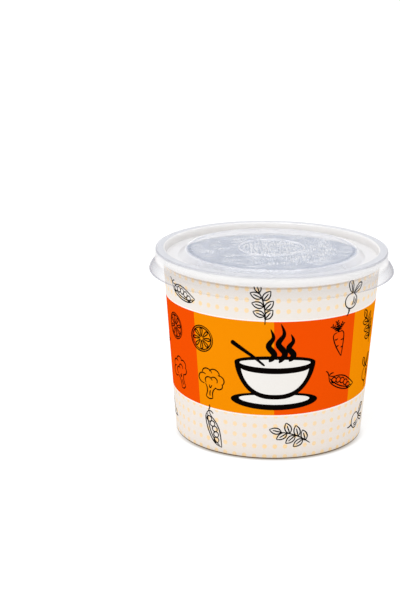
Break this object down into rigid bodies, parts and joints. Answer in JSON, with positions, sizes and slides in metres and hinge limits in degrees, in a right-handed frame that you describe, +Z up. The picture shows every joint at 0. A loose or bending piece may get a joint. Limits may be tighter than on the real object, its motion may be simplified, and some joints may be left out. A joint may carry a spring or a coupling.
{
  "type": "takeaway soup container",
  "caption": "Round tapered board cup with a rolled rim and recessed base, closed by a clear lid pressed over the rim, for hot takeaway soup.",
  "frame": {"origin": "centre of the ring that the cup stands on", "axes": "+Z up along the axis of the cup, towards the lid; -Y faces the viewer of the printed bowl"},
  "size_m": [0.1234, 0.1234, 0.0954],
  "materials": {
    "printed_board": "coated board printed with amber and orange-red panels between two dotted cream bands, satin",
    "plain_board": "uncoated off-white board, satin inside",
    "clear_film": "thin formed polypropylene, hazy and glossy"
  },
  "bodies": {
    "root": {"cup_wall": "printed_board", "cup_base": "plain_board", "lid": "clear_film"}
  },
  "joints": []
}
